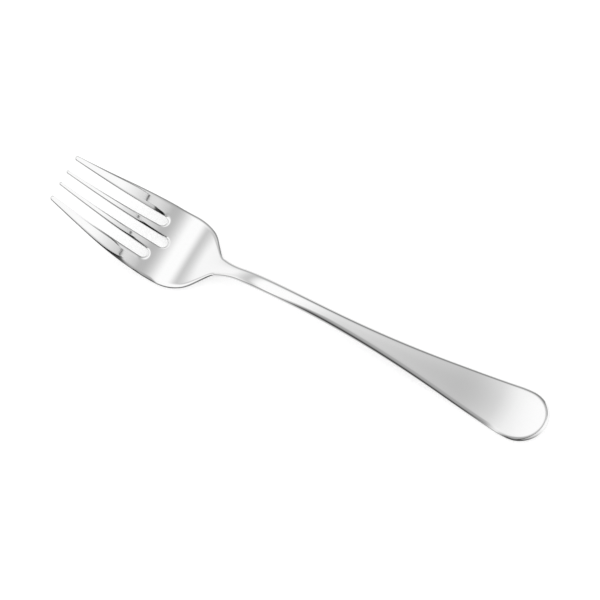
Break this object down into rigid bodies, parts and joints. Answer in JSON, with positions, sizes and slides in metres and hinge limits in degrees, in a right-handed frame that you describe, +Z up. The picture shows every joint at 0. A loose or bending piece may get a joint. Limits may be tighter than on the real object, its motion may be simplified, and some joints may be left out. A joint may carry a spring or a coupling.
{
  "type": "serving fork",
  "caption": "Polished stainless steel serving fork with tapered tines, a broad curved palm, a slim arched neck and a flared, round-ended handle, for lifting and serving food.",
  "frame": {"origin": "centre of the plan, on the table plane that the palm and the handle end rest on", "axes": "+X along the fork from the tines to the handle end, +Y across it, +Z up out of its hollow side"},
  "size_m": [0.2202, 0.0348, 0.0193],
  "materials": {
    "steel": "mirror polished stainless steel"
  },
  "bodies": {
    "root": {"serving_fork": "steel"}
  },
  "joints": []
}
